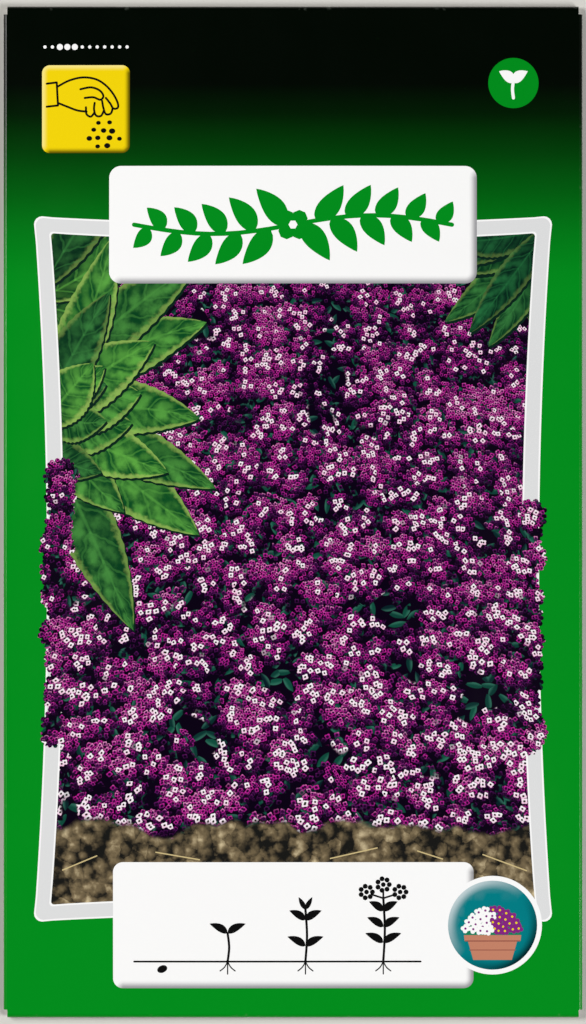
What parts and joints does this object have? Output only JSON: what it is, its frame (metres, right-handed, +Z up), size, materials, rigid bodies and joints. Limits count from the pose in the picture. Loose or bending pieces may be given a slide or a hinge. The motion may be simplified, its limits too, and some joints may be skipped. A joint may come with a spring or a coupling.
{
  "type": "seed packet",
  "caption": "Flat glued paper seed packet lying on its back, printed front up, with a lapped and flapped back and a sachet of seeds inside.",
  "frame": {"origin": "middle of the packet's outline, at the level of the surface that it lies on", "axes": "+X towards the right of the printed front, +Y towards its top edge, +Z up out of the printed front"},
  "size_m": [0.093, 0.1626, 0.0037],
  "materials": {
    "printed_paper": "coated paper, printed, satin",
    "dried_glue": "dull",
    "sachet_foil": "satin foil",
    "seed_skin": "dull"
  },
  "bodies": {
    "root": {"paper_bag": "printed_paper", "seam_glue": "dried_glue", "bottom_glue": "dried_glue", "flap_glue": "dried_glue", "seed_sachet": "sachet_foil", "seeds": "seed_skin"}
  },
  "joints": []
}
